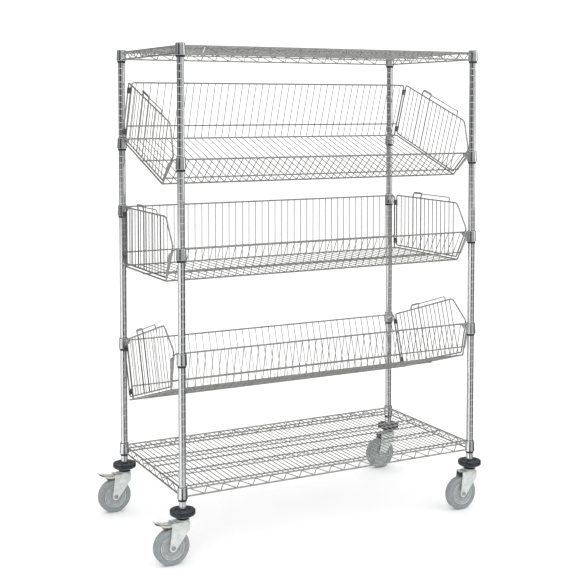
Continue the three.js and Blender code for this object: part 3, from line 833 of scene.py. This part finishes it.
def stem(corner):
    """Stem in the post's foot, bearing race below it, kingpin foot, and a seal over the race."""
    node = "caster_stem_" + corner
    low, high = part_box(node)
    race_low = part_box("caster_fork_" + corner)[1][2] + 0.4 * MM
    race_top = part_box("post_" + corner)[0][2] - 4 * MM
    profile = [
        (0, low[2]),
        (8 * MM, low[2]),
        (10 * MM, low[2] + 1 * MM),
        (10 * MM, low[2] + 4 * MM),
        (6 * MM, low[2] + 4 * MM),
        (6 * MM, race_low),
        (22.5 * MM, race_low),
        (24 * MM, race_low + 1.5 * MM),
        (24 * MM, race_low + 3 * MM),
        (22 * MM, race_low + 5 * MM),
        (15 * MM, race_low + 6.5 * MM),
        (13 * MM, race_top),
        (10.4 * MM, race_top + 2 * MM),
        (10.4 * MM, high[2] - 2 * MM),
        (9 * MM, high[2]),
        (0, high[2]),
    ]
    sketch = Sketch()
    sketch.lathe(profile, sides=40, centre=POSTS[corner].to_3d())
    sketch.piece("swivel_race_" + corner, BRIGHT_ZINC, "frame", [node])
    seal = Sketch()
    ring = [
        (19 * MM, race_low + 5.2 * MM),
        (20.6 * MM, race_low + 5 * MM),
        (20.6 * MM, race_low + 6.5 * MM),
        (18 * MM, race_low + 9.5 * MM),
        (14 * MM, race_low + 10 * MM),
        (14 * MM, race_low + 8 * MM),
    ]
    seal.lathe(ring, sides=40, centre=POSTS[corner].to_3d(), closed=True)
    seal.piece("dust_seal_" + corner, BLACK_RUBBER, "frame")


def fork(corner):
    """Pressed fork: domed crown and two legs that narrow to bosses round the axle."""
    node = "caster_fork_" + corner
    hub = joint_place(f"wheel_{corner}_roll")
    swivel = joint_place(f"caster_{corner}_swivel")
    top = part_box(node)[1][2]
    trail = swivel.x - hub.x
    sketch = Sketch(Matrix.Translation((swivel.x, swivel.y, 0)))
    leg = [(CROWN_FRONT, top - 1 * MM), (CROWN_FRONT, top - 26 * MM)]
    for step in range(11):
        angle = math.radians(-30 - 150 * step / 10)
        leg.append((-trail + FORK_EYE * math.cos(angle), hub.z + FORK_EYE * math.sin(angle)))
    leg += [(-trail - 4 * MM, top - 14 * MM), (-trail - 4 * MM, top - 1 * MM)]
    half = FORK_GAP + FORK_GAUGE
    boss = [
        (AXLE_HOLE, 0),
        (11 * MM, 0),
        (11 * MM, 0.6 * MM),
        (9.8 * MM, 1.0 * MM),
        (AXLE_HOLE, 1.0 * MM),
    ]
    for side in (-1, 1):
        centre = Vector((0, side * (FORK_GAP + FORK_GAUGE / 2), 0))
        sketch.plate(leg, FORK_GAUGE, X_AXIS, Z_AXIS, centre, bevel=0.8 * MM)
        boss_foot = Vector((-trail, side * (half - 0.1 * MM), hub.z))
        sketch.lathe(boss, sides=28, axis=Y_AXIS * side, centre=boss_foot, closed=True)
    front, back = CROWN_FRONT, CROWN_BACK
    crown = rounded_outline([(front, -half), (front, half), (back, half), (back, -half)], 4 * MM)
    sketch.plate(crown, 3.4 * MM, X_AXIS, Y_AXIS, Vector((0, 0, top - 2 * MM)), bevel=1.2 * MM)
    ring = [(8 * MM, top - 0.5 * MM), (21 * MM, top - 0.5 * MM), (20 * MM, top), (9 * MM, top)]
    sketch.lathe(ring, sides=40, closed=True)
    if corner.endswith("right"):
        # turned-up tab over the moulded stop
        tab = [
            (back + 2 * MM, top - 4 * MM),
            (back - 10 * MM, top - 3 * MM),
            (back - 17 * MM, top + 7 * MM),
            (back - 19 * MM, top + 5.5 * MM),
            (back - 11 * MM, top - 5 * MM),
            (back + 2 * MM, top - 6 * MM),
        ]
        sketch.plate(tab, 14 * MM, X_AXIS, Z_AXIS, ORIGIN, bevel=0.4 * MM)
        stop = [
            (back + 1 * MM, top - 5 * MM),
            (back - 13 * MM, top - 4 * MM),
            (back - 14 * MM, top - 18 * MM),
            (back + 1 * MM, top - 13 * MM),
        ]
        block = Sketch(sketch.place)
        block.plate(rounded_outline(stop, 2 * MM), 30 * MM, X_AXIS, Z_AXIS, ORIGIN, bevel=1.2 * MM)
        block.piece("swivel_stop_" + corner, BLACK_RUBBER, "caster_" + corner)
    sketch.piece("pressed_fork_" + corner, BRIGHT_ZINC, "caster_" + corner, [node])


def axle(corner):
    """Axle with a round head on one side and a nut on the other."""
    hub = joint_place(f"wheel_{corner}_roll")
    sketch = Sketch()
    end = 26 * MM
    head = 22.4 * MM
    profile = [
        (0, -end),
        (4 * MM, -end),
        (5 * MM, -end + 1 * MM),
        (5 * MM, head),
        (9.5 * MM, head),
        (9.5 * MM, head + 1.2 * MM),
        (8 * MM, head + 2 * MM),
        (5.5 * MM, head + 3.6 * MM),
        (0, end),
    ]
    sketch.lathe(profile, sides=32, axis=Y_AXIS, centre=hub)
    nut_radius = 8 * MM
    nut = []
    for step in range(6):
        angle = math.pi / 3 * step
        nut.append((nut_radius * math.cos(angle), nut_radius * math.sin(angle)))
    sketch.plate(nut, 3 * MM, X_AXIS, Z_AXIS, hub - Y_AXIS * (head + 1.6 * MM), bevel=0.6 * MM)
    sketch.piece("axle_bolt_" + corner, CLIP_CHROME, "caster_" + corner, ["caster_axle_" + corner])


def wheel(corner):
    """Grey tyre on a dished hub with a bead at its edge painted pale as a highlight, the same on both
    faces.
    """
    hub_centre = joint_place(f"wheel_{corner}_roll")
    half = WHEEL_HALF_WIDTH
    radius = hub_centre.z
    rim = HUB_RADIUS
    shoulder = 7 * MM
    side = []
    for step in range(6):
        angle = math.pi / 2 * step / 5
        across = radius - shoulder + shoulder * math.sin(angle)
        side.append((across, half - shoulder + shoulder * math.cos(angle)))
    side = [(rim + 1 * MM, half - 3 * MM), (rim + 3 * MM, half - 0.6 * MM), (rim + 9 * MM, half)] + side
    sketch = Sketch()
    section = side + [(r, -h) for r, h in reversed(side)]
    sketch.lathe(section, sides=72, axis=Y_AXIS, centre=hub_centre, closed=True)
    sketch.piece("rubber_tyre_" + corner, GREY_TYRE, "wheel_" + corner, ["wheel_tyre_" + corner])

    face = [
        (rim, half - 2.4 * MM),
        (rim - 1.2 * MM, half - 1.4 * MM),
        (rim - 2.6 * MM, half - 1.6 * MM),
        (rim - 4 * MM, half - 3.4 * MM),
        (rim - 7 * MM, half - 5 * MM),
        (29 * MM, half - 6 * MM),
        (27.5 * MM, half - 4.6 * MM),
        (25.5 * MM, half - 4.6 * MM),
        (24 * MM, half - 6.2 * MM),
        (17 * MM, half - 6 * MM),
        (15.5 * MM, half - 1 * MM),
        (14 * MM, half + 1.8 * MM),
        (AXLE_HOLE, half + 1.8 * MM),
    ]
    section = face + [(r, -h) for r, h in reversed(face)]
    sketch = Sketch()
    sketch.lathe(section, sides=64, axis=Y_AXIS, centre=hub_centre, closed=True)
    sketch.piece("moulded_hub_" + corner, GREY_HUB, "wheel_" + corner, ["wheel_hub_" + corner])

    # Both beads on each face carry the pale colour, a painted highlight for the light lines round the
    # hub.
    rim_bead = (rim - 0.4 * MM, half - 1.4 * MM, 0.9 * MM)
    dish_bead = (33 * MM, half - 5 * MM, 0.5 * MM)
    sketch = Sketch()
    for face_sign in (-1, 1):
        for bead, level, thick in (rim_bead, dish_bead):
            ring = []
            for step in range(8):
                angle = math.pi / 4 * step
                across = bead + thick * math.cos(angle)
                ring.append((across, face_sign * level + thick * math.sin(angle)))
            sketch.lathe(ring, sides=64, axis=Y_AXIS, centre=hub_centre, closed=True)
    sketch.piece("hub_beads_painted_highlight_" + corner, BEAD_PAINTED_HIGHLIGHT, "wheel_" + corner)


def brake_pedal(corner):
    """Foot lever with an upturned toe, its locking cam above and the brake pad over the tyre.

    At its lower limit the pad stops about 2.5 mm short of the tyre."""
    body = "pedal_" + corner
    place = Matrix.Translation(joint_place(f"brake_pedal_{corner}_press"))
    pin_half = 18.5 * MM
    lever = [(4, -3), (-4, -5), (-20, -5), (-38, 2), (-54, 10), (-63, 19)]
    lever += [(-65, 21.5), (-54, 14), (-38, 6), (-21, 2.5), (4, 3.5)]
    outline = rounded_outline(in_mm(lever), 1.2 * MM, 2)
    sketch = Sketch(place)
    sketch.plate(outline, PEDAL_WIDTH, X_AXIS, Z_AXIS, ORIGIN, bevel=0.8 * MM)
    sketch.rod([(0, -pin_half, 0), (0, pin_half, 0)], 3 * MM, sides=16)
    sketch.piece("foot_pedal_" + corner, BRIGHT_ZINC, body, ["brake_pedal_" + corner])

    cam = [(2, 4), (-12, 4), (-30, 7), (-44, 12), (-57, 22)]
    cam += [(-44, 15.5), (-28, 11), (-12, 10), (2, 7)]
    outline = rounded_outline(in_mm(cam), 1.0 * MM, 2)
    sketch = Sketch(place)
    sketch.plate(outline, 14 * MM, X_AXIS, Z_AXIS, ORIGIN, bevel=0.6 * MM)
    sketch.piece("locking_cam_" + corner, PEDAL_ZINC, body)

    pad = [(-12, -4), (-30, -1.5), (-29, -8.5), (-12, -8)]
    outline = rounded_outline(in_mm(pad), 1.2 * MM, 2)
    sketch = Sketch(place)
    sketch.plate(outline, PEDAL_WIDTH + 2 * MM, X_AXIS, Z_AXIS, ORIGIN, bevel=0.8 * MM)
    sketch.piece("brake_pad_" + corner, BROWN_PAD, body)


for corner in CORNERS:
    post(corner)
    bumper(corner)
    stem(corner)
    fork(corner)
    axle(corner)
    wheel(corner)
    if corner.endswith("left"):
        brake_pedal(corner)
for node in ("top_shelf", "bottom_shelf"):
    flat_shelf(node)
for basket in BASKETS:
    tray(basket)
    end_panel(basket, "left", -1)
    end_panel(basket, "right", 1)
    for corner in CORNERS:
        hook_collar(basket, corner)

# ------------------------------------------------------------------ floor, light and camera


# Brightness that the chrome mirrors at each bearing (degrees from +X), set to give the posts
# the bands that they have in the photo.
AT_EYE_LEVEL = (
    (-180, 0.24),
    (-168, 0.22),
    (-160, 0.05),
    (-128, 0.04),
    (-114, 0.33),
    (-80, 0.34),
    (-34, 0.27),
    (28, 0.16),
    (60, 0.26),
    (156, 0.14),
    (168, 0.22),
    (180, 0.24),
)
LOWER_DOWN = (
    (-180, 0.80),
    (-137, 0.84),
    (-132, 0.02),
    (-104, 0.02),
    (-99, 0.37),
    (-52, 0.43),
    (-36, 0.05),
    (28, 0.07),
    (40, 0.34),
    (156, 0.37),
    (168, 0.80),
    (180, 0.80),
)
EYE_LEVEL_RISE = (-0.13, -0.04)  # rise of a mirrored direction, where a zone starts and where it is full
ABOVE = {"rise": (0.45, 0.80), "brightness": 0.94}
BELOW = {"rise": (-0.28, -0.36), "brightness": 0.62}


def pale_floor():
    reach = 30
    mesh = bpy.data.meshes.new("floor")
    verts = [(-reach, -reach, 0), (reach, -reach, 0), (reach, reach, 0), (-reach, reach, 0)]
    mesh.from_pydata(verts, [], [(0, 1, 2, 3)])
    floor = bpy.data.objects.new("floor", mesh)
    bpy.context.scene.collection.objects.link(floor)
    material, tree, shader = new_material("pale_floor", (0.95, 0.95, 0.95), 0.0, 0.9)
    grain = blend(tree, noise(tree, 3, 2), (0.94, 0.94, 0.94), (0.96, 0.96, 0.96))
    tree.links.new(grain, shader.inputs["Base Color"])
    mesh.materials.append(material)
    floor.visible_glossy = False  # the chrome mirrors only the surroundings


def area_light(name, location, target, size, energy):
    data = bpy.data.lights.new(name, "AREA")
    data.shape = "RECTANGLE"
    data.size, data.size_y = size
    data.energy = energy
    light = bpy.data.objects.new(name, data)
    light.location = location
    light.rotation_euler = (Vector(target) - Vector(location)).to_track_quat("-Z", "Y").to_euler()
    bpy.context.scene.collection.objects.link(light)


def mirrored_surroundings(tree):
    """Brightness by direction: bands round the horizon, paler above and below."""
    direction = tree.nodes.new("ShaderNodeTexCoord").outputs["Generated"]
    split = tree.nodes.new("ShaderNodeSeparateXYZ")
    tree.links.new(direction, split.inputs["Vector"])
    bearing = tree.nodes.new("ShaderNodeMath")
    bearing.operation = "ARCTAN2"
    tree.links.new(split.outputs["Y"], bearing.inputs[0])
    tree.links.new(split.outputs["X"], bearing.inputs[1])
    turn = map_range(tree, bearing.outputs["Value"], -math.pi, math.pi)

    def band(stops):
        colours = tree.nodes.new("ShaderNodeValToRGB")
        while len(colours.color_ramp.elements) < len(stops):
            colours.color_ramp.elements.new(0.5)
        for element, (degrees, brightness) in zip(colours.color_ramp.elements, stops):
            element.position = (degrees + 180) / 360
            element.color = (brightness, brightness, brightness, 1)
        tree.links.new(turn, colours.inputs["Fac"])
        return colours.outputs["Color"]

    level = map_range(tree, split.outputs["Z"], *EYE_LEVEL_RISE)
    colour = mixed(tree, level, band(LOWER_DOWN), band(AT_EYE_LEVEL))
    for zone in (BELOW, ABOVE):
        reach = map_range(tree, split.outputs["Z"], *zone["rise"])
        colour = mixed(tree, reach, colour, (*[zone["brightness"]] * 3, 1))
    return colour


def map_range(tree, value, start, end):
    """0 to 1 as the value goes from start to end."""
    spread = tree.nodes.new("ShaderNodeMapRange")
    spread.inputs["From Min"].default_value = start
    spread.inputs["From Max"].default_value = end
    tree.links.new(value, spread.inputs["Value"])
    return spread.outputs["Result"]


def mixed(tree, factor, low, high):
    """Colour between two others, each a socket or a constant."""
    mix = tree.nodes.new("ShaderNodeMix")
    mix.data_type = "RGBA"
    tree.links.new(factor, mix.inputs["Factor"])
    for socket, value in ((mix.inputs[6], low), (mix.inputs[7], high)):
        if isinstance(value, tuple):
            socket.default_value = value
        else:
            tree.links.new(value, socket)
    return mix.outputs[2]


def studio():
    scene = bpy.context.scene
    scene.view_settings.view_transform = "Standard"
    world = bpy.data.worlds.new("studio")
    world.use_nodes = True
    tree = world.node_tree
    background = tree.nodes["Background"]
    background.inputs["Strength"].default_value = 1.25
    is_mirrored = tree.nodes.new("ShaderNodeLightPath").outputs["Is Glossy Ray"]
    light = mixed(tree, is_mirrored, (1, 1, 1, 1), mirrored_surroundings(tree))
    tree.links.new(light, background.inputs["Color"])
    scene.world = world
    middle = (MIDDLE_X, 0, 0.9)
    area_light("key", (-3.0, -4.0, 4.0), middle, (2.5, 2.5), 60)
    area_light("fill", (4.5, -2.5, 2.2), middle, (1.5, 3.0), 20)


def photo_camera():
    """A long lens at standing eye height, front left, level but for three degrees."""
    data = bpy.data.cameras.new("camera")
    data.sensor_width = 36.0
    data.lens = 72.53
    data.shift_y = -0.2046
    camera = bpy.data.objects.new("camera", data)
    camera.location = (MIDDLE_X - 2.0667, -3.8866, 1.5488)
    camera.rotation_euler = (math.radians(90 - 3.155), 0, math.radians(-27.52))
    bpy.context.scene.collection.objects.link(camera)
    bpy.context.scene.camera = camera


pale_floor()
studio()
photo_camera()
